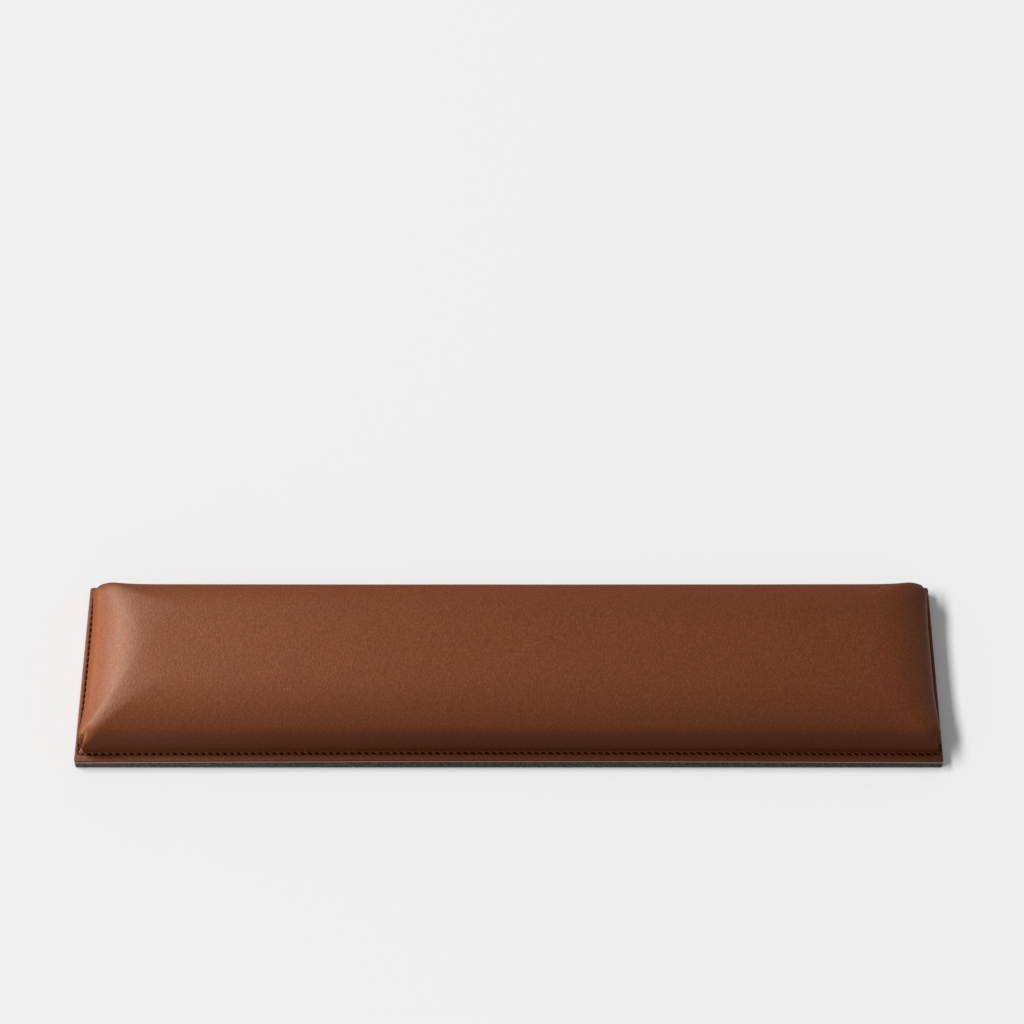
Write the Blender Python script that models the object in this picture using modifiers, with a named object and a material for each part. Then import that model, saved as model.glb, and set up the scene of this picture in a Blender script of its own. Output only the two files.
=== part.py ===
"""A padded leather wrist rest for a compact keyboard, as the pieces it is sewn together from.

The origin is at the middle of the face that lies on the desk. +X runs along the rest, to the
user's right, +Y points to the keyboard and +Z up. Sizes are in metres.
"""

import math

import bmesh
import bpy
from mathutils import Matrix

# The whole rest
WIDTH = 0.3680
DEPTH = 0.0885
HEIGHT = 0.0200

# Thickness of each layer. The comfort foam fills what is left.
PAD_THICKNESS = 0.0033
BOARD_THICKNESS = 0.0020
ADHESIVE_THICKNESS = 0.0003
SUPPORT_FOAM_THICKNESS = 0.0030
LEATHER_THICKNESS = 0.0014

# The flat flange around the cushion, from its edge to the seam
FRONT_SEAM_MARGIN = 0.0038
REAR_SEAM_MARGIN = 0.0023
SIDE_SEAM_MARGIN = 0.0023
FLANGE_CORNER_RADIUS = 0.0012
SEAM_CORNER_RADIUS = 0.0016

# The cushion that stands inside the seam: an upright wall, then an elliptical dome
SEAM_TO_WALL = 0.0014
DOME_RISE = 0.0095
DOME_RUN = 0.0240
WALL_CORNER_RADIUS = 0.0060
RIDGE_RADIUS = 0.0016

# Sewing thread, and its height over the desk on the underside
THREAD_DIAMETER = 0.0007
BOBBIN_ABOVE_DESK = 0.0001

# Between any two pieces that touch
GAP = 0.0003

# Fineness of the round stretches
CORNER_STEPS = 5
DOME_STEPS = 9

# Heights that follow from the layers
LEATHER_UNDERSIDE = PAD_THICKNESS + GAP
FLANGE_TOP = LEATHER_UNDERSIDE + LEATHER_THICKNESS
BOARD_ADHESIVE_BOTTOM = PAD_THICKNESS + GAP
BOARD_BOTTOM = BOARD_ADHESIVE_BOTTOM + ADHESIVE_THICKNESS + GAP
FOAM_ADHESIVE_BOTTOM = BOARD_BOTTOM + BOARD_THICKNESS + GAP
SUPPORT_FOAM_BOTTOM = FOAM_ADHESIVE_BOTTOM + ADHESIVE_THICKNESS + GAP
COMFORT_FOAM_BOTTOM = SUPPORT_FOAM_BOTTOM + SUPPORT_FOAM_THICKNESS + GAP
DOME_BOTTOM = HEIGHT - DOME_RISE

# How far the layers inside the cushion stay from the leather's outer face
CORE_INSET = LEATHER_THICKNESS + GAP

# The channel that a thread lies in
CHANNEL_RADIUS = THREAD_DIAMETER / 2 + GAP
BOBBIN_CENTRE_HEIGHT = BOBBIN_ABOVE_DESK + THREAD_DIAMETER / 2

# Outlines in plan, each as (half width, front y, rear y)
FLANGE_OUTLINE = (WIDTH / 2, -DEPTH / 2, DEPTH / 2)
SEAM_OUTLINE = (
    WIDTH / 2 - SIDE_SEAM_MARGIN,
    -DEPTH / 2 + FRONT_SEAM_MARGIN,
    DEPTH / 2 - REAR_SEAM_MARGIN,
)

LEATHER_BROWN = (0.170, 0.046, 0.018)
THREAD_BROWN = (0.130, 0.036, 0.014)
BOBBIN_GREY = (0.030, 0.030, 0.031)
COMFORT_FOAM_YELLOW = (0.720, 0.610, 0.360)
SUPPORT_FOAM_GREY = (0.120, 0.122, 0.126)
BOARD_BROWN = (0.210, 0.125, 0.065)
ADHESIVE_AMBER = (0.620, 0.520, 0.330)
PAD_CHARCOAL = (0.052, 0.052, 0.054)

SMOOTH_BELOW_ANGLE = math.radians(35)
WELD_DISTANCE = 1e-6


def clear_scene():
    for obj in list(bpy.data.objects):
        bpy.data.objects.remove(obj, do_unlink=True)


def new_collection(name):
    collection = bpy.data.collections.new(name)
    bpy.context.scene.collection.children.link(collection)
    return collection


def material(name, color, roughness, metallic=0.0):
    made = bpy.data.materials.new(name)
    made.use_nodes = True
    shader = made.node_tree.nodes["Principled BSDF"]
    shader.inputs["Base Color"].default_value = (*color, 1.0)
    shader.inputs["Roughness"].default_value = roughness
    shader.inputs["Metallic"].default_value = metallic
    return made


def inset(outline, distance):
    half_width, front, rear = outline
    return half_width - distance, front + distance, rear - distance


def rounded_rectangle(outline, radius):
    """(x, y) points of a rectangle with round corners, anticlockwise from its right side's rear end."""
    half_width, front, rear = outline
    centres = [
        (half_width - radius, rear - radius),
        (-half_width + radius, rear - radius),
        (-half_width + radius, front + radius),
        (half_width - radius, front + radius),
    ]
    points = []
    for quarter, (x, y) in enumerate(centres):
        for step in range(CORNER_STEPS + 1):
            angle = math.pi / 2 * (quarter + step / CORNER_STEPS)
            points.append((x + radius * math.cos(angle), y + radius * math.sin(angle)))
    return points


def cushion_ring(distance, z):
    """One level line of the cushion, the given distance inside the outer face of its wall."""
    outline = inset(SEAM_OUTLINE, SEAM_TO_WALL + distance)
    radius = max(WALL_CORNER_RADIUS - distance, RIDGE_RADIUS)
    return [(x, y, z) for x, y in rounded_rectangle(outline, radius)]


def dome_rings(depth):
    """Rings over the dome, from the wall's top to the flat middle, the given depth under its outer face."""
    rings = []
    for step in range(DOME_STEPS + 1):
        angle = math.pi / 2 * step / DOME_STEPS
        across, up = math.cos(angle), math.sin(angle)
        slope = math.hypot(across / DOME_RUN, up / DOME_RISE)
        distance = DOME_RUN * (1 - across) + depth * across / DOME_RUN / slope
        z = DOME_BOTTOM + DOME_RISE * up - depth * up / DOME_RISE / slope
        rings.append(cushion_ring(distance, z))
    return rings


def loft(name, rings, close_bottom):
    """A surface through level rings, capped on the last ring and, if asked, on the first."""
    shape = bmesh.new()
    loops = []
    for ring in rings:
        verts = [shape.verts.new(point) for point in ring]
        edges = [shape.edges.new((verts[i - 1], verts[i])) for i in range(len(verts))]
        loops.append((verts, edges))
    for (_, lower), (_, upper) in zip(loops, loops[1:]):
        bmesh.ops.bridge_loops(shape, edges=lower + upper)
    shape.faces.new(loops[-1][0])
    if close_bottom:
        shape.faces.new(loops[0][0])
    bmesh.ops.recalc_face_normals(shape, faces=shape.faces)
    mesh = bpy.data.meshes.new(name)
    shape.to_mesh(mesh)
    shape.free()
    mesh.shade_smooth()
    mesh.set_sharp_from_angle(angle=SMOOTH_BELOW_ANGLE)
    return bpy.data.objects.new(name, mesh)


def outline_curve(name, points):
    """A curve object with one closed, straight-sided spline through (x, y) points at z = 0."""
    curve = bpy.data.curves.new(name, "CURVE")
    spline = curve.splines.new("POLY")
    spline.points.add(len(points) - 1)
    for point, (x, y) in zip(spline.points, points):
        point.co = (x, y, 0.0, 1.0)
    spline.use_cyclic_u = True
    return bpy.data.objects.new(name, curve)


def plate(name, outline, radius, bottom, thickness):
    """A flat sheet with round corners."""
    obj = outline_curve(name, rounded_rectangle(outline, radius))
    obj.data.dimensions = "2D"
    obj.data.fill_mode = "BOTH"
    obj.data.extrude = thickness / 2
    obj.location.z = bottom + thickness / 2
    return obj


def seam_tube(name, radius, z):
    """A round tube that follows the whole seam, with its centre at height z."""
    obj = outline_curve(name, rounded_rectangle(SEAM_OUTLINE, SEAM_CORNER_RADIUS))
    obj.data.dimensions = "3D"
    obj.data.bevel_depth = radius
    obj.data.bevel_resolution = 2
    obj.location.z = z
    return obj


def as_mesh(curve_obj):
    """A mesh object with the curve object's name, shape and place. The curve object is removed."""
    bpy.context.scene.collection.objects.link(curve_obj)
    bpy.context.view_layer.update()
    evaluated = curve_obj.evaluated_get(bpy.context.evaluated_depsgraph_get())
    mesh = bpy.data.meshes.new_from_object(evaluated)
    shape = bmesh.new()
    shape.from_mesh(mesh)
    bmesh.ops.remove_doubles(shape, verts=shape.verts, dist=WELD_DISTANCE)
    bmesh.ops.recalc_face_normals(shape, faces=shape.faces)
    shape.to_mesh(mesh)
    shape.free()
    name, place = curve_obj.name, curve_obj.matrix_world.copy()
    bpy.data.objects.remove(curve_obj, do_unlink=True)
    obj = bpy.data.objects.new(name, mesh)
    obj.matrix_world = place
    return obj


def add_piece(obj, surface, parts):
    """Puts a piece in the object's collection, in its own material."""
    parts.objects.link(obj)
    obj.data.materials.clear()
    obj.data.materials.append(surface)


def cut_thread_channel(obj, z, cutters):
    """Cuts the channel that a thread lies in, along the seam at height z."""
    cutter = as_mesh(seam_tube(f"{obj.name}_channel_cutter", CHANNEL_RADIUS, z))
    cutter.hide_render = True
    cutter.display_type = "WIRE"
    cutters.objects.link(cutter)
    cut = obj.modifiers.new("thread_channel", "BOOLEAN")
    cut.operation = "DIFFERENCE"
    cut.object = cutter


def base_pad(parts, cutters):
    """The non-slip sheet on the desk, as large as the flange that is sewn to it."""
    sheet = as_mesh(plate("base_pad", FLANGE_OUTLINE, FLANGE_CORNER_RADIUS, 0.0, PAD_THICKNESS))
    add_piece(sheet, material("sponge_rubber", PAD_CHARCOAL, 0.9), parts)
    cut_thread_channel(sheet, BOBBIN_CENTRE_HEIGHT, cutters)


def core_shape(cutters):
    """The space inside the leather, less the gap: a helper that trims each inner layer."""
    rings = [cushion_ring(CORE_INSET, 0.0), *dome_rings(CORE_INSET)]
    core = loft("core_shape", rings, close_bottom=True)
    core.hide_render = True
    core.display_type = "WIRE"
    cutters.objects.link(core)
    return core


def core_layer(name, bottom, thickness, surface, core, parts):
    """A flat slab that is trimmed to the core's outline and, at the top, to its dome."""
    mesh = bpy.data.meshes.new(name)
    shape = bmesh.new()
    bmesh.ops.create_cube(shape, size=1.0, matrix=Matrix.Diagonal((WIDTH, DEPTH, thickness, 1.0)))
    shape.to_mesh(mesh)
    shape.free()
    layer = bpy.data.objects.new(name, mesh)
    layer.location.z = bottom + thickness / 2
    add_piece(layer, surface, parts)
    trim = layer.modifiers.new("trim_to_core", "BOOLEAN")
    trim.operation = "INTERSECT"
    trim.object = core


def inner_layers(parts, cutters):
    """What fills the leather, from the base pad up: a board glued on both sides, then two foams."""
    core = core_shape(cutters)
    comfort_foam_thickness = HEIGHT - COMFORT_FOAM_BOTTOM
    layers = [
        ("board_adhesive", BOARD_ADHESIVE_BOTTOM, ADHESIVE_THICKNESS, ADHESIVE_AMBER, 0.35),
        ("stiffener_board", BOARD_BOTTOM, BOARD_THICKNESS, BOARD_BROWN, 0.85),
        ("foam_adhesive", FOAM_ADHESIVE_BOTTOM, ADHESIVE_THICKNESS, ADHESIVE_AMBER, 0.35),
        ("support_foam", SUPPORT_FOAM_BOTTOM, SUPPORT_FOAM_THICKNESS, SUPPORT_FOAM_GREY, 0.9),
        ("comfort_foam", COMFORT_FOAM_BOTTOM, comfort_foam_thickness, COMFORT_FOAM_YELLOW, 0.95),
    ]
    for name, bottom, thickness, color, roughness in layers:
        core_layer(name, bottom, thickness, material(name, color, roughness), core, parts)


def leather_cover(parts, cutters):
    """One leather skin: a flat flange, the cushion's upright wall and its dome."""
    flange = [(x, y, FLANGE_TOP) for x, y in rounded_rectangle(FLANGE_OUTLINE, FLANGE_CORNER_RADIUS)]
    foot = cushion_ring(0.0, FLANGE_TOP)
    obj = loft("leather_cover", [flange, foot, *dome_rings(0.0)], close_bottom=False)
    add_piece(obj, material("leather", LEATHER_BROWN, 0.48), parts)
    skin = obj.modifiers.new("leather_thickness", "SOLIDIFY")
    skin.thickness = LEATHER_THICKNESS
    skin.offset = -1.0
    skin.use_even_offset = True
    skin.use_quality_normals = True
    cut_thread_channel(obj, FLANGE_TOP, cutters)


def threads(parts):
    """The seam's two threads: the needle thread on the leather, the bobbin thread under the pad."""
    needle = seam_tube("needle_thread", THREAD_DIAMETER / 2, FLANGE_TOP)
    add_piece(needle, material("needle_thread", THREAD_BROWN, 0.55), parts)
    bobbin = seam_tube("bobbin_thread", THREAD_DIAMETER / 2, BOBBIN_CENTRE_HEIGHT)
    add_piece(bobbin, material("bobbin_thread", BOBBIN_GREY, 0.6), parts)


def build():
    clear_scene()
    parts = new_collection("wrist_rest")
    cutters = new_collection("cutters")
    base_pad(parts, cutters)
    inner_layers(parts, cutters)
    leather_cover(parts, cutters)
    threads(parts)


build()
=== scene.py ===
"""The looks of a padded leather wrist rest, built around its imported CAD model.

+X runs along the rest, +Y points to the keyboard and +Z up; lengths are in metres. Each soft piece is a
loft of rings. A ring is a rounded rectangle, traced anticlockwise by the same stations on every level,
so that the rings join face by face. Near the seam the rings are finer, for the needle holes.
"""

import math

import bmesh
import bpy
import numpy as np
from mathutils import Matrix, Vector


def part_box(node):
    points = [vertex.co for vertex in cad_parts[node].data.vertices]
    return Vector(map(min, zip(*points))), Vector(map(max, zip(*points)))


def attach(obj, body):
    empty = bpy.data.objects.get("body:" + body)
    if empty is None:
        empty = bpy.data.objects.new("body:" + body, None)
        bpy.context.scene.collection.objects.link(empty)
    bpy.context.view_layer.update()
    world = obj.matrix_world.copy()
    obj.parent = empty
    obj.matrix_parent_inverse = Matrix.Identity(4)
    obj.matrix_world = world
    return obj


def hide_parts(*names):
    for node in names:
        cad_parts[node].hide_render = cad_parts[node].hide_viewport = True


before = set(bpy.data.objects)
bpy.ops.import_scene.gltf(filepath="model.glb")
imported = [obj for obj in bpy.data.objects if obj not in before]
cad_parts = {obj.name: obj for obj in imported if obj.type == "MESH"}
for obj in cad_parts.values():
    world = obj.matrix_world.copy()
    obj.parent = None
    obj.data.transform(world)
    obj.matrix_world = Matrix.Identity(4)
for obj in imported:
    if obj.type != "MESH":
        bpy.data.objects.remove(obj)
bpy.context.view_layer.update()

MM = 0.001

# Places that the frame gives
COVER_LOW, COVER_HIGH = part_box("leather_cover")
PAD_LOW, PAD_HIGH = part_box("base_pad")
SEAM_LOW, SEAM_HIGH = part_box("needle_thread")
BOBBIN_LOW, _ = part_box("bobbin_thread")
SUPPORT_LOW, SUPPORT_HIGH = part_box("support_foam")
FLANGE_TOP = (SEAM_LOW.z + SEAM_HIGH.z) / 2
CAD_THREAD_RADIUS = (SEAM_HIGH.z - SEAM_LOW.z) / 2
COVER_TOP = COVER_HIGH.z

# Stitches: how many on a long and on a short side, and how finely each is meshed
LONG_STITCHES = 120
SHORT_STITCHES = 26
STEPS_PER_STITCH = 10
CORNER_STEPS = 30

# The cushion's profile on the (front, side, rear): a steep wall, a shoulder that bends over, and a
# long slope that flattens towards the plateau. Angles are degrees from level, lengths run along it.
WALL_TILT = np.array([82.0, 112.0, 88.0])
WALL_LEAN_BACK = np.array([12.0, 44.0, 15.0])
WALL_LENGTH = np.array([7.6, 5.6, 7.0]) * MM
SHOULDER_LENGTH = np.array([9.0, 7.5, 6.5]) * MM
SLOPE_TILT = np.array([28.0, 30.0, 21.0])
SLOPE_LENGTH = np.array([32.0, 27.0, 18.0]) * MM
PROFILE_STEPS = 400
DOME_TOP = COVER_TOP + 0.8 * MM
DOME_RINGS = 44
RING_SPACING = 1.15
PLATEAU_RINGS = 6
LEATHER = 1.4 * MM
SEAM_TO_FOOT = 0.8 * MM
FOOT_RADIUS = 2.0 * MM
WALL_RADIUS = 2.6 * MM
PLATEAU_RADIUS = 22.0 * MM
FOOT_SHARE = 0.12
MOST_ROUND = 0.95
CROWN = 0.3 * MM
UNEVEN, UNEVEN_LENGTH = 0.08 * MM, 70 * MM

# How the cushion departs from a plain dome
CORNER_REACH = 12.0 * MM
CORNER_BULGE = 1.0 * MM
CORNER_LIFT = 0.9 * MM
EAR_REACH = 0.9 * MM
EAR_PLACE = 7.0 * MM
EAR_FRONT, EAR_BACK = 3.2 * MM, 13.0 * MM
EAR_HEIGHT, EAR_TALL = 12.5 * MM, 4.5 * MM
TUCK_REACH = 1.0 * MM
TUCK_HEIGHT, TUCK_SPREAD = 8.5 * MM, 4.0 * MM
SEAM_SPREAD = 0.7 * MM
SPREAD_REACH = 16.0 * MM
OFF_CENTRE = 0.4 * MM
LEAN = 0.8 * MM
FRONT_BOW = 0.6 * MM
PLEAT_ANGLE = 33.0
PLEAT_WIDTH = 0.60 * MM
PLEAT_DEPTH = 1.5 * MM
PLEAT_TOP = 13.5 * MM

# The seam: a valley round the cushion, with a slanted slit where each stitch ends
SEAM_RADIUS = 1.6 * MM
SEAM_RINGS = np.array([-0.66, -0.52, -0.39, -0.26, -0.13, 0.0, 0.13, 0.26, 0.39, 0.52, 0.68, 0.9]) * MM
VALLEY_DEPTH, VALLEY_WIDTH = 0.35 * MM, 0.45 * MM
# painted shade: how much darker the leather is coloured in the seam valley
PAINTED_VALLEY_SHADE = 0.72
PUCKER_HEIGHT, PUCKER_WIDTH = 0.08 * MM, 1.0 * MM
HOLE_DEPTH = 0.9 * MM
HOLE_HALF_LENGTH = 1.10 * MM
HOLE_HALF_WIDTH = 0.30 * MM
HOLE_SLANT = math.radians(34)
# painted shade at the seam's inner corners
PAINTED_CORNER_SHADE = 0.6

# The stitches: arches of three-ply thread that start and end a share of the way between the slits
THREAD_RADIUS = 0.28 * MM
PLY_DEPTH = 0.16
END_TAPER = 0.55
STITCH_START = 0.33
STITCH_SKEW = 0.45 * MM

# The flange and its cut edge, which is raw below a band between two heights over its underside
FLANGE_RADIUS = 1.2 * MM
LIP_PLACE, LIP_HEIGHT = 1.2 * MM, 0.02 * MM
EDGE_RADIUS = 0.35 * MM
RAW_START, RAW_FULL = 0.75 * MM, 0.65 * MM

# The base pad
PAD_GAP = 0.08 * MM
PAD_RADIUS, PAD_EDGE = 1.0 * MM, 0.4 * MM
PAD_MIDDLE = 25 * MM
GROOVE_DEPTH, GROOVE_WIDTH, GROOVE_REACH = 0.75 * MM, 0.5 * MM, 1.0 * MM

# Inside
COMFORT_LOW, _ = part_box("comfort_foam")
FOAM_GAP = 0.15 * MM
FOAM_RIM = 0.5 * MM
SUPPORT_RADIUS, SUPPORT_EDGE = 2.0 * MM, 0.5 * MM
SUPPORT_MIDDLE = 20 * MM

# Colours of the leather
TAN_DARK = (0.156, 0.0345, 0.0074)
TAN_LIGHT = (0.166, 0.0370, 0.0082)
FLECK = (0.220, 0.056, 0.0150)
GRAIN_VALLEY = (0.085, 0.019, 0.005)
# painted shade: the leather gets darker towards the long edges, down the front and rear slopes
PAINTED_SLOPE_SHADE = (0.080, 0.0165, 0.0034)
# painted shadow: the long flanges darker again, as if under the cushion's wall
PAINTED_FLANGE_SHADOW = (0.040, 0.0090, 0.0020)
# painted shade in the seam valley, the needle holes, the pleats and the seam's inner corners
PAINTED_CREASE_SHADE = (0.018, 0.0050, 0.0022)
RAW_LEATHER = (0.66, 0.45, 0.33)
GRAIN_STRETCH = (1.0, 0.48, 1.0)
GRAIN_SCALE, MOTTLE_SCALE = 1000.0, 1500.0

# The camera: a long lens from above and in front
CAMERA_PLACE = (0.0065, -0.710, 1.140)
CAMERA_TILT = math.radians(35.0)
LENS, SENSOR_WIDTH = 109.0, 36.0
SHIFT_X = -0.0117


# --- Stations and rings ------------------------------------------------------------------------


def stations(steps_per_stitch):
    """Where a ring's points lie: on a corner's arc, or a share of the way along a side."""
    rows = []
    for corner in range(4):
        for step in range(CORNER_STEPS + 1):
            rows.append((corner, corner, 0.0, 90.0 * (corner + step / CORNER_STEPS), -1.0))
        stitches = SHORT_STITCHES if corner % 2 else LONG_STITCHES
        steps = stitches * steps_per_stitch
        for step in range(1, steps):
            share = step / steps
            rows.append((corner, (corner + 1) % 4, share, 90.0 * (corner + 1), share * stitches))
    start, end, share, degrees, stitch = np.array(rows).T
    angle = np.radians(degrees)
    return {
        "start": start.astype(int),
        "end": end.astype(int),
        "share": share,
        "degrees": degrees,
        "normal": np.stack([np.cos(angle), np.sin(angle)], axis=1),
        "stitch": stitch,
    }


COARSE = stations(1)
FINE = stations(STEPS_PER_STITCH)


def outline(half_width, front, rear, radius):
    return np.array([half_width, front, rear, radius])


def inset(shape, distance):
    """The outline moved inwards, with its corner radius as it is."""
    return shape + np.array([-distance, distance, -distance, 0.0])


def trace(shape, where):
    """The ring's (x, y) points at the given stations."""
    half_width, front, rear, radius = shape
    x, low, high = half_width - radius, front + radius, rear - radius
    centres = np.array([(x, high), (-x, high), (-x, low), (x, low)])
    share = where["share"][:, None]
    middle = centres[where["start"]] * (1 - share) + centres[where["end"]] * share
    return middle + where["normal"] * radius


def level(shape, z, where):
    points = trace(shape, where)
    return np.column_stack([points, np.full(len(points), z)])


FLANGE = outline(COVER_HIGH.x, COVER_LOW.y, COVER_HIGH.y, FLANGE_RADIUS)
SEAM = outline(
    SEAM_HIGH.x - CAD_THREAD_RADIUS,
    SEAM_LOW.y + CAD_THREAD_RADIUS,
    SEAM_HIGH.y - CAD_THREAD_RADIUS,
    SEAM_RADIUS,
)
FOOT = inset(SEAM, SEAM_TO_FOOT)
FOOT[3] = FOOT_RADIUS


def sides_blend(where):
    """Each station's share of front, side and rear, by the way it faces."""
    nx, ny = where["normal"].T
    front = np.clip(-ny, 0, 1) ** 2
    rear = np.clip(ny, 0, 1) ** 2
    return np.stack([front, nx**2, rear], axis=1)


def corner_nearness(points):
    """1 at the cushion's corners, falling to 0 along its sides."""
    half_width, front, rear, _ = FOOT
    x = np.abs(points[:, 0]) - half_width
    y = np.where(points[:, 1] > 0, points[:, 1] - rear, front - points[:, 1])
    return np.exp(-(x**2) / CORNER_REACH**2) * np.exp(-(y**2) / CORNER_REACH**2)


def ear(points, where):
    """Outward puff of the end walls behind the front corners, and the tuck in front of it."""
    behind = points[:, 1] - (FOOT[1] + EAR_PLACE)
    reach = np.where(behind < 0, EAR_FRONT, EAR_BACK)
    high = (points[:, 2] - EAR_HEIGHT) / EAR_TALL
    facing = where["normal"][:, 0] * np.abs(where["normal"][:, 0])
    puff = EAR_REACH * np.exp(-((behind / reach) ** 2) - high**2)
    low = (points[:, 2] - TUCK_HEIGHT) / TUCK_SPREAD
    beside = (points[:, 1] - FOOT[1]) / TUCK_SPREAD
    return facing * (puff - TUCK_REACH * np.exp(-(beside**2) - low**2))


def pleat(degrees, radius):
    """The pinched fold at each corner, beside the end seam, and the soft lips on both sides of it."""
    quarter = np.floor((degrees % 360) / 90)
    within = (degrees % 360) - 90 * quarter
    from_end = np.where(quarter % 2 == 0, within, 90 - within)
    off = np.radians(from_end - PLEAT_ANGLE) * radius / PLEAT_WIDTH
    lips = np.exp(-((off - 2.3) ** 2) / 1.6) + np.exp(-((off + 2.3) ** 2) / 1.6)
    return np.exp(-(off**2)), lips


def front_bow(points):
    """Pull of the stretched leather: the long edges lie a little further in at their middle."""
    share = np.clip(np.abs(points[:, 0]) / FLANGE[0], 0, 1)
    return FRONT_BOW * (1 - share**2) * np.sign(-points[:, 1])


def seam_drift(points):
    """The seam runs out to the edge towards the front corners, and is sewn a little off centre."""
    toward_front = np.exp(-(((points[:, 1] - SEAM[1]) / SPREAD_REACH) ** 2))
    side = np.clip(points[:, 0] / SEAM[0], -1, 1) ** 5
    return side * SEAM_SPREAD * toward_front + OFF_CENTRE * np.clip(side, 0, 1)


def ripple(points, seed, wavelength):
    """A smooth irregular wave between about -1 and 1, from a few sines."""
    total = np.zeros(len(points))
    for turn in range(4):
        angle = seed + 2.4 * turn
        along = points[:, 0] * math.cos(angle) + points[:, 1] * math.sin(angle)
        total += np.sin(2 * math.pi * along / (wavelength * (0.7 + 0.23 * turn)) + seed * (turn + 1))
    return total / 4


# --- The cushion's surface -----------------------------------------------------------------------


def profile_curve():
    """Points (inset, height) and tilts along the profile on each side, from the foot to the plateau."""
    share = np.linspace(0, 1, PROFILE_STEPS)[:, None]
    along = share * (WALL_LENGTH + SHOULDER_LENGTH + SLOPE_LENGTH)
    wall = WALL_TILT - WALL_LEAN_BACK * np.clip(along / WALL_LENGTH, 0, 1)
    bend = np.clip((along - WALL_LENGTH) / SHOULDER_LENGTH, 0, 1)
    bend = bend * bend * (3 - 2 * bend)
    rest = np.clip((along - WALL_LENGTH - SHOULDER_LENGTH) / SLOPE_LENGTH, 0, 1)
    tilt = np.radians(wall + (SLOPE_TILT - wall) * bend) * (1 - rest) ** 1.8
    step = np.diff(along, axis=0, prepend=0)
    inward = np.cumsum(np.cos(tilt) * step, axis=0)
    rise = np.cumsum(np.sin(tilt) * step, axis=0)
    return inward, FLANGE_TOP + rise * (DOME_TOP - FLANGE_TOP) / rise[-1], tilt


PROFILE = profile_curve()


def profile(share, depth):
    """(inset, height) on each side, the given depth under the outer face."""
    place = share * (PROFILE_STEPS - 1)
    low = min(int(place), PROFILE_STEPS - 2)
    inward, height, tilt = (row[low] + (row[low + 1] - row[low]) * (place - low) for row in PROFILE)
    return inward + depth * np.sin(tilt), height - depth * np.cos(tilt)


def corner_radius(share):
    """Tight at the foot, wider on the wall and widest where the plateau begins."""
    onto_wall = min(1.0, share / FOOT_SHARE)
    onto_plateau = share**2
    widening = (WALL_RADIUS - FOOT_RADIUS) * onto_wall + (PLATEAU_RADIUS - WALL_RADIUS) * onto_plateau
    return FOOT_RADIUS + widening


def dome_ring(share, depth, where):
    """One ring of the cushion, with share running from 0 at its foot to 1 at the plateau's edge."""
    inward, height = profile(share, depth)
    front, side, rear = inward
    half_depth = (FOOT[2] - rear - FOOT[1] - front) / 2
    radius = min(corner_radius(share), MOST_ROUND * half_depth)
    shape = outline(FOOT[0] - side, FOOT[1] + front, FOOT[2] - rear, radius)
    ring = level(shape, 0.0, where)
    ring[:, 2] = sides_blend(where) @ height
    return ring, radius


def pleat_fade(ring):
    return np.clip((PLEAT_TOP - ring[:, 2]) / (PLEAT_TOP - FLANGE_TOP), 0, 1) ** 0.6


def relief(points):
    """The crown over the plateau and the leather's slight unevenness, by place."""
    half_depth = (FOOT[2] - FOOT[1]) / 2
    middle = (FOOT[2] + FOOT[1]) / 2
    across = np.clip(np.abs(points[:, 1] - middle) / half_depth, 0, 1)
    along = np.clip(np.abs(points[:, 0]) / FOOT[0], 0, 1)
    crown = CROWN * (1 - across**2) * (1 - along**10)
    return crown + UNEVEN * ripple(points, seed=1.3, wavelength=UNEVEN_LENGTH)


def shape_cushion(ring, radius, share, where, with_pleats):
    """Adds the corner bulge, pleats, ears, seam drift, lean, bow, corner lift and relief to a ring."""
    height = np.clip((ring[:, 2] - FLANGE_TOP) / (DOME_TOP - FLANGE_TOP), 0, 1)
    near = corner_nearness(ring)
    push = near * CORNER_BULGE * math.sin(math.pi * min(1.0, 1.6 * share) ** 0.7)
    if with_pleats:
        groove, lips = pleat(where["degrees"], radius)
        pinch = np.where(where["share"] == 0, (0.30 * lips - groove) * PLEAT_DEPTH, 0)
        push = push + pinch * pleat_fade(ring) * min(1.0, 12 * share)
    ring[:, :2] += where["normal"] * push[:, None]
    ring[:, 0] += seam_drift(ring) * max(0.0, 1 - 4 * share) + ear(ring, where)
    ring[:, 0] += LEAN * np.clip(2 * height, 0, 1)
    ring[:, 1] += front_bow(ring) * (1 - height)
    ring[:, 2] += CORNER_LIFT * near * math.sin(math.pi * share)
    ring[:, 2] += relief(ring) * height**2
    return ring


def cushion_rings(depth, with_pleats):
    """The rings from the foot to the spine, the given depth under the leather's outer face."""
    rings = []
    for share in np.linspace(0, 1, DOME_RINGS) ** RING_SPACING:
        ring, radius = dome_ring(share, depth, COARSE)
        rings.append(shape_cushion(ring, radius, share, COARSE, with_pleats))
    for ring in plateau_rings(rings[-1]):
        ring[:, 2] = DOME_TOP - depth + relief(ring)
        rings.append(ring)
    return rings


def plateau_rings(edge):
    """Level rings from an inner edge to a spine in the middle, so that the top has an even mesh."""
    middle = (edge[:, 1].max() + edge[:, 1].min()) / 2
    reach = edge[:, 0].max() - (edge[:, 1].max() - middle)
    side = np.array([1.0, -1.0, -1.0, 1.0])
    share = COARSE["share"]
    spine = edge.copy()
    spine[:, 0] = reach * (side[COARSE["start"]] * (1 - share) + side[COARSE["end"]] * share)
    spine[:, 1] = middle
    steps = np.linspace(0, 1, PLATEAU_RINGS + 1)[1:]
    return [edge * (1 - step) + spine * step for step in steps]


# --- The seam ------------------------------------------------------------------------------------


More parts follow.
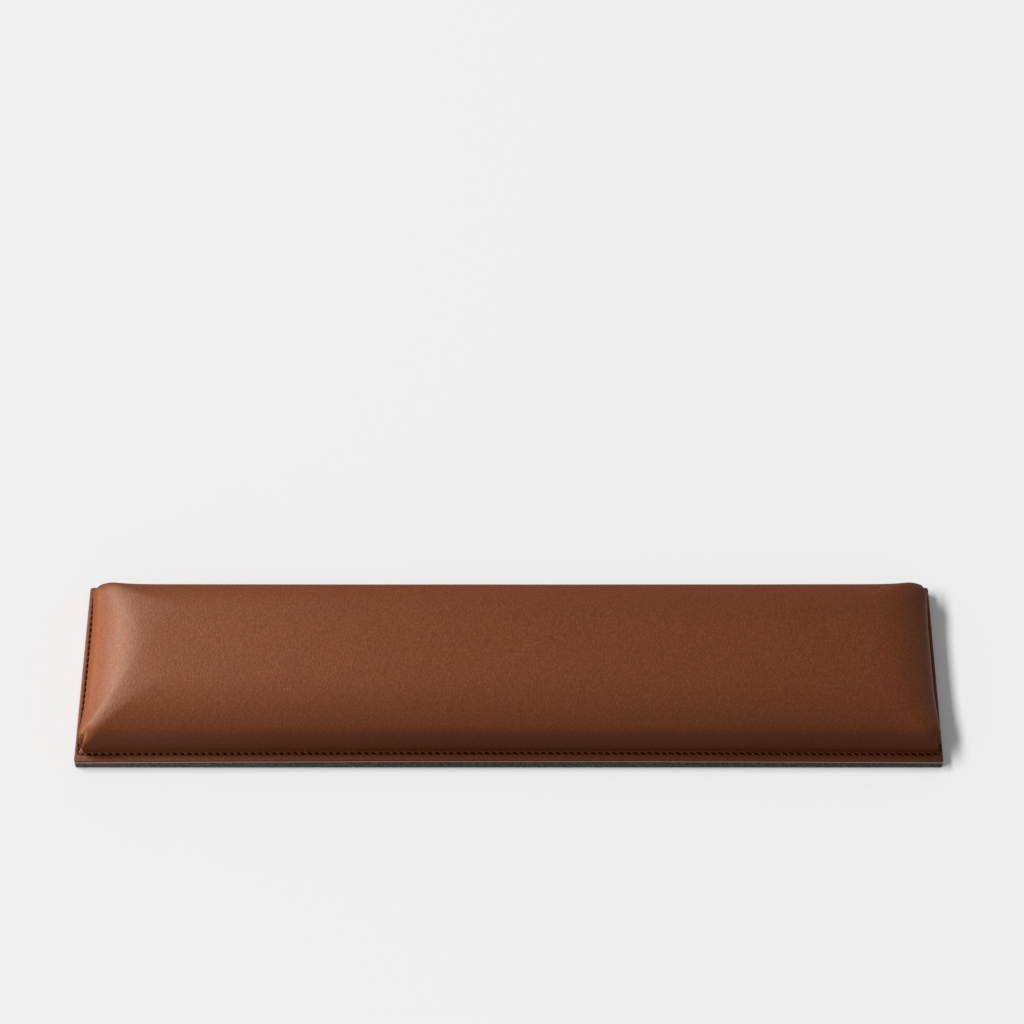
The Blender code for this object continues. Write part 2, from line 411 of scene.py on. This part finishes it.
def hole_depth(across, where):
    """Share of a needle hole's depth at each station, at a distance outwards across the seam."""
    pitch = 2 * (SEAM[0] - SEAM[3]) / LONG_STITCHES
    along = (where["stitch"] - np.round(where["stitch"])) * pitch
    lengthwise = along * math.cos(HOLE_SLANT) + across * math.sin(HOLE_SLANT)
    crosswise = across * math.cos(HOLE_SLANT) - along * math.sin(HOLE_SLANT)
    dip = np.exp(-((lengthwise / HOLE_HALF_LENGTH) ** 4) - (crosswise / HOLE_HALF_WIDTH) ** 2)
    return np.where(where["stitch"] < 0, 0, dip)


def seam_rings():
    """Fine rings over the stitched valley, with a slanted slit where each stitch ends, and painted shade in
    the valley, the slits and the inner corners.
    """
    rings = []
    for across in SEAM_RINGS:
        if across < 0:
            shape = SEAM + (FOOT - SEAM) * (-across / SEAM_TO_FOOT)
        else:
            shape = inset(SEAM, -across)
        ring = level(shape, FLANGE_TOP, FINE)
        valley = math.exp(-((across / VALLEY_WIDTH) ** 2))
        holes = hole_depth(across, FINE)
        pucker = np.where(FINE["stitch"] < 0, 0, -np.cos(2 * math.pi * FINE["stitch"]))
        ring[:, 2] -= VALLEY_DEPTH * valley + HOLE_DEPTH * holes
        ring[:, 2] += PUCKER_HEIGHT * pucker * math.exp(-((across / PUCKER_WIDTH) ** 2))
        # painted shade: darker in the needle holes, the valley and the seam's inner corners
        shade = np.where(FINE["stitch"] < 0, PAINTED_CORNER_SHADE if across < 0 else 0, 0)
        rings.append((ring, np.clip(holes + PAINTED_VALLEY_SHADE * valley + shade, 0, 1), 0.0))
    return rings


def flange_rings():
    """Rings from the seam's outer lip over the flange and round its cut edge, pale where it is raw."""
    lip = inset(SEAM, -LIP_PLACE)
    bottom = COVER_LOW.z
    rings = [(level(lip, FLANGE_TOP + LIP_HEIGHT, COARSE), 0.0, 0.0)]
    for share in (0.35, 0.75):
        shape = lip + (inset(FLANGE, EDGE_RADIUS) - lip) * share
        rings.append((level(shape, FLANGE_TOP, COARSE), 0.0, 0.0))
    for degrees in (90, 60, 30, 5):
        angle = math.radians(degrees)
        shape = inset(FLANGE, EDGE_RADIUS * (1 - math.cos(angle)))
        rings.append((level(shape, FLANGE_TOP - EDGE_RADIUS * (1 - math.sin(angle)), COARSE), 0.0, 0.0))
    rings.append((level(FLANGE, bottom + RAW_START, COARSE), 0.0, 0.0))
    rings.append((level(FLANGE, bottom + RAW_FULL, COARSE), 0.0, 1.0))
    rings.append((level(inset(FLANGE, 0.03 * MM), bottom + 0.06 * MM, COARSE), 0.0, 1.0))
    rings.append((level(inset(FLANGE, 0.09 * MM), bottom, COARSE), 0.0, 1.0))
    return rings


# --- Meshes --------------------------------------------------------------------------------------


def join_even(faces, first, second, count):
    for i in range(count):
        j = (i + 1) % count
        faces.append((first + i, second + i, second + j, first + j))


def fine_index():
    """Which fine station each coarse station is."""
    index, found = 0, []
    for i in range(len(COARSE["share"])):
        while not (
            COARSE["start"][i] == FINE["start"][index]
            and COARSE["end"][i] == FINE["end"][index]
            and abs(COARSE["share"][i] - FINE["share"][index]) < 1e-9
            and abs(COARSE["degrees"][i] - FINE["degrees"][index]) < 1e-9
        ):
            index += 1
        found.append(index)
    return found


FINE_INDEX = fine_index()


def join_coarse_to_fine(faces, coarse, fine, coarse_is_inner):
    """Each coarse edge meets the run of fine edges beside it in one face."""
    count, fine_count = len(COARSE["share"]), len(FINE["share"])
    for i in range(count):
        j = (i + 1) % count
        low, high = FINE_INDEX[i], FINE_INDEX[j] or fine_count
        run = [fine + k % fine_count for k in range(low, high + 1)]
        face = [coarse + i, *run, coarse + j]
        faces.append(face if coarse_is_inner else face[::-1])


def loft(name, rings):
    """A mesh through rings of (points, painted shade weight, raw), from the top's spine to the underside's.
    """
    points = np.concatenate([ring for ring, _, _ in rings])
    starts = np.cumsum([0] + [len(ring) for ring, _, _ in rings])
    faces = []
    for (ring, _, _), (following, _, _), start, after in zip(rings, rings[1:], starts, starts[1:]):
        if len(ring) == len(following):
            join_even(faces, start, after, len(ring))
        elif len(ring) < len(following):
            join_coarse_to_fine(faces, start, after, True)
        else:
            join_coarse_to_fine(faces, after, start, False)
    mesh = bpy.data.meshes.new(name)
    mesh.from_pydata(points.tolist(), [], faces)
    for label, column in (("painted_shade_weight", 1), ("raw", 2)):
        values = np.concatenate([np.broadcast_to(ring[column], len(ring[0])) for ring in rings])
        layer = mesh.attributes.new(label, "FLOAT", "POINT")
        layer.data.foreach_set("value", values.astype(np.float32))
    weld(mesh)
    mesh.shade_smooth()
    piece = bpy.data.objects.new(name, mesh)
    bpy.context.scene.collection.objects.link(piece)
    return piece


def weld(mesh):
    shape = bmesh.new()
    shape.from_mesh(mesh)
    bmesh.ops.remove_doubles(shape, verts=shape.verts, dist=1e-7)
    bmesh.ops.dissolve_degenerate(shape, edges=shape.edges, dist=1e-8)
    bmesh.ops.recalc_face_normals(shape, faces=shape.faces)
    shape.to_mesh(mesh)
    shape.free()


def leather_cover(surface):
    """The leather: cushion, seam and flange outside, and a smooth pocket for the foam inside."""
    rings = []
    for ring in cushion_rings(0.0, with_pleats=True)[::-1]:
        rings.append((ring, painted_pleat_shade(ring), 0.0))
    edge = seam_rings() + flange_rings()
    bottom = COVER_LOW.z
    edge.append((level(SEAM, bottom, COARSE), 0.0, 1.0))
    edge.append((level(inset(FOOT, LEATHER), bottom, COARSE), 0.0, 1.0))
    for ring, _, _ in edge:
        ring[:, 1] += front_bow(ring)
        within = np.clip((FLANGE[0] - np.abs(ring[:, 0])) / (FLANGE[0] - SEAM[0]), 0, 1)
        ring[:, 0] += seam_drift(ring) * within
    rings += edge
    rings += [(ring, 0.0, 1.0) for ring in cushion_rings(LEATHER, with_pleats=False)]
    piece = loft("leather_cushion_cover", rings)
    settle(piece, surface, "leather_cover")


def painted_pleat_shade(ring):
    """How deep in a pleat each point is, for the painted shade in the pleat."""
    groove, _ = pleat(COARSE["degrees"], FOOT_RADIUS)
    return np.where(COARSE["share"] == 0, groove * pleat_fade(ring), 0)


def settle(piece, surface, replaced):
    """Gives a piece its material and its place on the body, instead of a CAD node."""
    piece.data.materials.append(surface)
    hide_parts(replaced)
    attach(piece, "root")


# --- Thread --------------------------------------------------------------------------------------


def thread_tube(path, sides=9, twist_turns=1.4):
    """(points, faces) of a three-ply twisted thread along a path."""
    points, faces = [], []
    count = len(path)
    for i, place in enumerate(path):
        ahead = (path[min(i + 1, count - 1)] - path[max(i - 1, 0)]).normalized()
        side = ahead.cross(Vector((0, 0, 1))).normalized()
        up = side.cross(ahead)
        taper = END_TAPER if i in (0, count - 1) else 1.0
        for k in range(sides):
            angle = 2 * math.pi * k / sides
            lobes = 1 + PLY_DEPTH * math.cos(3 * angle - 2 * math.pi * twist_turns * i / (count - 1))
            reach = THREAD_RADIUS * lobes * taper
            points.append(place + (side * math.cos(angle) + up * math.sin(angle)) * reach)
    for i in range(count - 1):
        for k in range(sides):
            after = (k + 1) % sides
            faces.append((i * sides + k, (i + 1) * sides + k, (i + 1) * sides + after, i * sides + after))
    faces.append(tuple(range(sides)))
    faces.append(tuple((count - 1) * sides + k for k in range(sides))[::-1])
    return points, faces


def seam_sides():
    """(start, end, stitches) of each stretch of seam, anticlockwise, with one stitch over each corner."""
    half_width, front, rear, radius = SEAM
    x, low, high = half_width - radius, front + radius, rear - radius
    left = [(-half_width, high), (-half_width, low)]
    right = [(half_width, low), (half_width, high)]
    starts = [(x, rear), (-x, rear), *left, (-x, front), (x, front), *right]
    starts = [Vector((*place, 0)) for place in starts]
    counts = [LONG_STITCHES, 1, SHORT_STITCHES, 1] * 2
    return list(zip(starts, starts[1:] + starts[:1], counts))


def stitch_path(first, last, height, sink, rise, steps=9):
    """A stitch's arch between two needle holes, sinking into the slit at both ends."""
    ahead = (last - first).normalized()
    outward = Vector((ahead.y, -ahead.x, 0))
    path = []
    for i in range(steps):
        share = i / (steps - 1)
        along = STITCH_START + (1 - 2 * STITCH_START) * share
        point = first.lerp(last, along) + outward * (STITCH_SKEW * (share - 0.5))
        point.z = height + (sink + rise) * math.sin(math.pi * share) ** 0.6 - sink
        here = np.array([[point.x, point.y]])
        point.x += seam_drift(here)[0]
        point.y += front_bow(here)[0]
        path.append(point)
    return path


def stitches(name, height, sink, rise, surface, slot):
    """One thread's stitches round the whole seam, as one piece."""
    points, faces = [], []
    for start, end, count in seam_sides():
        for i in range(count):
            first, last = start.lerp(end, i / count), start.lerp(end, (i + 1) / count)
            new_points, new_faces = thread_tube(stitch_path(first, last, height, sink, rise))
            base = len(points)
            points += new_points
            faces += [tuple(base + k for k in face) for face in new_faces]
    mesh = bpy.data.meshes.new(name)
    mesh.from_pydata(points, [], faces)
    mesh.shade_smooth()
    piece = bpy.data.objects.new(name, mesh)
    bpy.context.scene.collection.objects.link(piece)
    settle(piece, surface, slot)


# --- Base pad and foams --------------------------------------------------------------------------


def flat_face(shape, z):
    """Rings from an outline to a spine in its middle, all at one height."""
    rings = [level(shape, z, COARSE)]
    rings += plateau_rings(rings[0])
    for ring in rings:
        ring[:, 2] = z
    return [(ring, 0.0, 0.0) for ring in rings]


def round_edge(shape, low, high, radius):
    """Rings down the side of a sheet, with both of its edges rounded."""
    rings = []
    for middle, turn in ((high - radius, 1), (low + radius, -1)):
        for degrees in (90, 65, 40, 15)[::turn]:
            angle = math.radians(degrees)
            ring_shape = inset(shape, radius * (1 - math.cos(angle)))
            rings.append((level(ring_shape, middle + turn * radius * math.sin(angle), COARSE), 0.0, 0.0))
    return rings


def base_pad(surface):
    """The sponge rubber sheet: soft cut edges, and a stitched valley on its underside."""
    top, bottom = COVER_LOW.z - PAD_GAP, PAD_LOW.z
    rim = outline(PAD_HIGH.x, PAD_LOW.y, PAD_HIGH.y, PAD_RADIUS)
    middle = inset(rim, PAD_MIDDLE)
    rings = flat_face(middle, top)[::-1]
    rings += round_edge(rim, bottom, top, PAD_EDGE)
    for share in (1.0, 0.6, 0.3, 0.0, -0.3, -0.6, -1.0):
        across = share * GROOVE_REACH
        depth = GROOVE_DEPTH * math.exp(-((across / GROOVE_WIDTH) ** 2)) if abs(share) < 1 else 0.0
        rings.append((level(inset(SEAM, -across), bottom + depth, COARSE), 0.0, 0.0))
    rings += flat_face(middle, bottom)
    piece = loft("sponge_base_pad", rings)
    piece.data.set_sharp_from_angle(angle=math.radians(50))
    settle(piece, surface, "base_pad")


def comfort_foam(surface):
    """The thick foam under the leather: the cushion's inner face, closed flat at its underside."""
    bottom = COMFORT_LOW.z
    rings = []
    for ring in cushion_rings(LEATHER + FOAM_GAP, with_pleats=False)[::-1]:
        if ring[:, 2].min() < bottom + FOAM_RIM:
            break
        rings.append((ring, 0.0, 0.0))
    last = rings[-1][0].copy()
    last[:, 2] = bottom
    rings.append((last, 0.0, 0.0))
    for ring in plateau_rings(last):
        ring[:, 2] = bottom
        rings.append((ring, 0.0, 0.0))
    piece = loft("crowned_comfort_foam", rings)
    piece.data.set_sharp_from_angle(angle=math.radians(50))
    settle(piece, surface, "comfort_foam")


def support_foam(surface):
    """The firm foam sheet between the board and the comfort foam, with its edges eased."""
    rim = outline(SUPPORT_HIGH.x, SUPPORT_LOW.y, SUPPORT_HIGH.y, SUPPORT_RADIUS)
    middle = inset(rim, SUPPORT_MIDDLE)
    rings = flat_face(middle, SUPPORT_HIGH.z)[::-1]
    rings += round_edge(rim, SUPPORT_LOW.z, SUPPORT_HIGH.z, SUPPORT_EDGE)
    rings += flat_face(middle, SUPPORT_LOW.z)
    piece = loft("firm_support_foam", rings)
    piece.data.set_sharp_from_angle(angle=math.radians(50))
    settle(piece, surface, "support_foam")


# --- Materials -----------------------------------------------------------------------------------


class Nodes:
    """A material's node tree, with short ways to add and link nodes."""

    def __init__(self, name):
        self.material = bpy.data.materials.new(name)
        self.material.use_nodes = True
        self.tree = self.material.node_tree
        self.shader = self.tree.nodes["Principled BSDF"]
        self.place = self.add("ShaderNodeTexCoord").outputs["Object"]

    def add(self, kind, inputs=None, **settings):
        node = self.tree.nodes.new(kind)
        for key, value in settings.items():
            setattr(node, key, value)
        for key, value in (inputs or {}).items():
            if isinstance(value, bpy.types.NodeSocket):
                self.tree.links.new(value, node.inputs[key])
            else:
                node.inputs[key].default_value = value
        return node

    def noise(self, scale, detail=3.0, roughness=0.5, place=None):
        values = {"Vector": place or self.place, "Scale": scale, "Detail": detail, "Roughness": roughness}
        return self.add("ShaderNodeTexNoise", values).outputs["Fac"]

    def cells(self, scale, feature, place=None):
        values = {"Vector": place or self.place, "Scale": scale}
        return self.add("ShaderNodeTexVoronoi", values, feature=feature).outputs["Distance"]

    def ramp(self, value, low, high, low_to=0.0, high_to=1.0):
        values = {"Value": value, "From Min": low, "From Max": high, "To Min": low_to, "To Max": high_to}
        return self.add("ShaderNodeMapRange", values).outputs["Result"]

    def math(self, operation, first, second):
        return self.add("ShaderNodeMath", {0: first, 1: second}, operation=operation).outputs[0]

    def mix(self, share, first, second, blend="MIX"):
        node = self.add("ShaderNodeMix", data_type="RGBA", blend_type=blend)
        for socket, value in (("Factor_Float", share), ("A_Color", first), ("B_Color", second)):
            target = next(s for s in node.inputs if s.identifier == socket)
            if isinstance(value, bpy.types.NodeSocket):
                self.tree.links.new(value, target)
            else:
                target.default_value = value
        return next(s for s in node.outputs if s.identifier == "Result_Color")

    def attribute(self, name):
        return self.add("ShaderNodeAttribute", attribute_name=name).outputs["Fac"]

    def bump(self, height, distance, strength=1.0, normal=None):
        values = {"Height": height, "Distance": distance, "Strength": strength}
        if normal is not None:
            values["Normal"] = normal
        return self.add("ShaderNodeBump", values).outputs["Normal"]

    def set(self, **sockets):
        for key, value in sockets.items():
            socket = self.shader.inputs[key.replace("_", " ")]
            if isinstance(value, bpy.types.NodeSocket):
                self.tree.links.new(value, socket)
            else:
                socket.default_value = value
        return self.material


def color(red, green, blue):
    return (red, green, blue, 1.0)


def leather_tone(n, mottle, grain):
    """Flecked tan, with painted shade down the long slopes, painted shadow on the long flanges and painted
    shade in creases, and pale where cut.
    """
    cloud = n.noise(18.0, 3.0, 0.5)
    tone = n.mix(n.ramp(cloud, 0.3, 0.7), color(*TAN_DARK), color(*TAN_LIGHT))
    tone = n.mix(n.ramp(mottle, 0.35, 0.70, 0.0, 0.40), tone, color(*FLECK))
    tone = n.mix(n.ramp(grain, 0.0, 1.0, 0.62, 0.0), tone, color(*GRAIN_VALLEY))
    depth = n.add("ShaderNodeSeparateXYZ", {0: n.place}).outputs["Y"]
    across = n.math("ABSOLUTE", depth, 0.0)
    # painted shade: darker towards the long edges, down the front and rear slopes
    tone = n.mix(n.ramp(across, 14 * MM, 40 * MM, 0.0, 0.34), tone, color(*PAINTED_SLOPE_SHADE))
    # painted shadow on the long flanges, beside the cushion's wall
    tone = n.mix(n.ramp(across, 40.5 * MM, 42 * MM, 0.0, 0.30), tone, color(*PAINTED_FLANGE_SHADOW))
    # painted shade in the seam valley, needle holes, pleats and seam corners
    tone = n.mix(n.math("MULTIPLY", n.attribute("painted_shade_weight"), 0.85), tone, color(*PAINTED_CREASE_SHADE))
    return n.mix(n.attribute("raw"), tone, color(*RAW_LEATHER))


def leather_material():
    """Satin leather with a fine pebbled grain, drawn out from front to rear."""
    n = Nodes("tan_leather")
    stretched = n.add("ShaderNodeMapping", {"Vector": n.place, "Scale": GRAIN_STRETCH}).outputs[0]
    wander = n.add("ShaderNodeTexNoise", {"Vector": stretched, "Scale": 420.0, "Detail": 2.0})
    middle = (0.5, 0.5, 0.5)
    shift = n.add("ShaderNodeVectorMath", {0: wander.outputs["Color"], 1: middle}, operation="SUBTRACT")
    scaled = n.add("ShaderNodeVectorMath", {0: shift.outputs[0], "Scale": 0.0022}, operation="SCALE")
    bent = n.add("ShaderNodeVectorMath", {0: stretched, 1: scaled.outputs[0]}).outputs[0]
    grain = n.ramp(n.cells(GRAIN_SCALE, "DISTANCE_TO_EDGE", bent), 0.0, 0.25)
    pores = n.noise(MOTTLE_SCALE, 3.0, 0.6, bent)
    mottle = n.noise(MOTTLE_SCALE, 2.0, 0.6, stretched)
    height = n.math("ADD", n.math("MULTIPLY", grain, 0.7), n.math("MULTIPLY", pores, 0.6))
    return n.set(
        Base_Color=leather_tone(n, mottle, grain),
        Roughness=n.ramp(mottle, 0.3, 0.7, 0.42, 0.50),
        Specular_IOR_Level=0.42,
        Specular_Tint=color(1.0, 0.76, 0.58),
        Normal=n.bump(height, 0.040 * MM, 0.7),
    )


def thread_material(name, low, high):
    """Waxed twisted thread, with fibres from a low to a high colour."""
    n = Nodes(name)
    fibre = n.noise(5200.0, 2.0, 0.6)
    tone = n.mix(n.ramp(fibre, 0.35, 0.65), color(*low), color(*high))
    plies = n.bump(fibre, 0.04 * MM, 0.5)
    return n.set(Base_Color=tone, Roughness=0.6, Specular_IOR_Level=0.08, Normal=plies)


def sponge_material():
    """Dark sponge rubber: small open cells with lighter specks."""
    n = Nodes("sponge_rubber")
    cells = n.cells(1500.0, "F1")
    specks = n.noise(900.0, 4.0, 0.7)
    tone = n.mix(n.ramp(specks, 0.42, 0.72), color(0.046, 0.047, 0.049), color(0.165, 0.164, 0.160))
    tone = n.mix(n.ramp(cells, 0.0, 0.35, 0.55, 0.0), tone, color(0.016, 0.016, 0.016))
    height = n.math("ADD", cells, n.math("MULTIPLY", specks, 0.6))
    rough_face = n.bump(height, 0.12 * MM, 0.7)
    return n.set(Base_Color=tone, Roughness=0.88, Specular_IOR_Level=0.3, Normal=rough_face)


def foam_material(name, low, high):
    n = Nodes(name)
    cells = n.cells(1400.0, "F1")
    cloud = n.noise(60.0, 3.0)
    tone = n.mix(n.ramp(cloud, 0.3, 0.7), color(*low), color(*high))
    return n.set(Base_Color=tone, Roughness=0.95, Normal=n.bump(cells, 0.2 * MM, 0.8))


def board_material():
    """Grey-brown fibreboard with short fibres."""
    n = Nodes("fibreboard")
    fibres = n.noise(700.0, 5.0, 0.7)
    tone = n.mix(n.ramp(fibres, 0.35, 0.65), color(0.15, 0.085, 0.042), color(0.27, 0.17, 0.095))
    return n.set(Base_Color=tone, Roughness=0.85, Normal=n.bump(fibres, 0.1 * MM, 0.5))


def adhesive_material():
    """Amber acrylic adhesive, slightly mottled."""
    n = Nodes("adhesive_sheet")
    weave = n.noise(1200.0, 2.0)
    tone = n.mix(weave, color(0.52, 0.40, 0.22), color(0.70, 0.60, 0.40))
    return n.set(Base_Color=tone, Roughness=0.35, Normal=n.bump(weave, 0.05 * MM, 0.4))


def repaint(node, surface):
    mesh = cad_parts[node].data
    mesh.materials.clear()
    mesh.materials.append(surface)


# --- Stage ---------------------------------------------------------------------------------------


def floor():
    """A plain pale floor, clear when seen from below, which sends no light back to the pieces."""
    bpy.ops.mesh.primitive_circle_add(vertices=96, radius=2.5, fill_type="NGON", location=(0, 0, -0.02 * MM))
    plane = bpy.context.object
    plane.name = "floor"
    n = Nodes("pale_floor")
    n.set(Base_Color=color(0.80, 0.80, 0.80), Roughness=0.9, Specular_IOR_Level=0.1)
    clear = n.add("ShaderNodeBsdfTransparent")
    facing = n.add("ShaderNodeNewGeometry").outputs["Backfacing"]
    mixed = n.add("ShaderNodeMixShader", {0: facing, 1: n.shader.outputs[0], 2: clear.outputs[0]})
    n.tree.links.new(mixed.outputs[0], n.tree.nodes["Material Output"].inputs["Surface"])
    plane.data.materials.append(n.material)
    plane.visible_diffuse = False
    plane.visible_glossy = False
    return plane


def softbox(name, direction, distance, width, length, strength, lit, tint):
    """A rectangular light, its length level, aimed at the origin and lighting only the given objects."""
    toward = Vector(direction).normalized()
    data = bpy.data.lights.new(name, "AREA")
    data.shape = "RECTANGLE"
    data.size, data.size_y = length, width
    data.energy = strength * math.pi * distance**2
    data.color = tint
    light = bpy.data.objects.new(name, data)
    light.location = toward * distance
    light.rotation_euler = toward.to_track_quat("Z", "Y").to_euler()
    light.visible_camera = False
    bpy.context.scene.collection.objects.link(light)
    receivers = bpy.data.collections.new(name + "_receivers")
    for piece in lit:
        receivers.objects.link(piece)
    light.light_linking.receiver_collection = receivers


def lights(plane):
    """A softbox behind on the left, a warm card low on the left and a weak fill at the front left.

    They light the pieces only, and the floor has its own far softbox. A pale world fills the rest.
    """
    pieces = [obj for obj in bpy.data.objects if obj.type == "MESH" and obj is not plane]
    warm, pale, white = (1.0, 0.74, 0.50), (1.0, 0.94, 0.88), (1.0, 1.0, 1.0)
    softbox("key", (-0.66, 0.44, 0.66), 1.1, width=0.22, length=0.60, strength=3.5, lit=pieces, tint=white)
    softbox("card", (-0.98, 0.10, 0.14), 0.9, width=0.24, length=0.60, strength=2.7, lit=pieces, tint=warm)
    side = (-0.28, -0.22, 0.06)
    softbox("front_fill", side, 0.36, width=0.08, length=0.16, strength=0.34, lit=pieces, tint=pale)
    high = (-0.66, 0.0, 0.75)
    softbox("key_on_floor", high, 30.0, width=5.4, length=28.0, strength=3.52, lit=[plane], tint=white)
    world = bpy.data.worlds.new("studio")
    bpy.context.scene.world = world
    world.use_nodes = True
    background = world.node_tree.nodes["Background"]
    background.inputs["Color"].default_value = (1.0, 1.0, 1.0, 1.0)
    background.inputs["Strength"].default_value = 0.35


def camera():
    data = bpy.data.cameras.new("camera")
    data.sensor_width = SENSOR_WIDTH
    data.lens = LENS
    data.shift_x = SHIFT_X
    data.clip_start, data.clip_end = 0.01, 20.0
    view = bpy.data.objects.new("camera", data)
    view.location = CAMERA_PLACE
    view.rotation_euler = (CAMERA_TILT, 0.0, 0.0)
    bpy.context.scene.collection.objects.link(view)
    bpy.context.scene.camera = view


def build():
    leather_cover(leather_material())
    tan_thread = thread_material("tan_thread", (0.16, 0.036, 0.009), (0.34, 0.085, 0.022))
    grey_thread = thread_material("grey_thread", (0.020, 0.020, 0.021), (0.060, 0.060, 0.062))
    valley = FLANGE_TOP - VALLEY_DEPTH
    stitches("needle_stitches", valley, 0.9 * MM, 0.10 * MM, tan_thread, "needle_thread")
    below = BOBBIN_LOW.z + 0.35 * MM
    stitches("bobbin_stitches", below, -0.5 * MM, -0.1 * MM, grey_thread, "bobbin_thread")
    base_pad(sponge_material())
    comfort_foam(foam_material("comfort_foam", low=(0.62, 0.50, 0.27), high=(0.78, 0.67, 0.42)))
    support_foam(foam_material("support_foam", low=(0.10, 0.10, 0.105), high=(0.15, 0.15, 0.155)))
    repaint("stiffener_board", board_material())
    glue = adhesive_material()
    repaint("foam_adhesive", glue)
    repaint("board_adhesive", glue)


build()
lights(floor())
camera()
bpy.context.scene.view_settings.view_transform = "Standard"
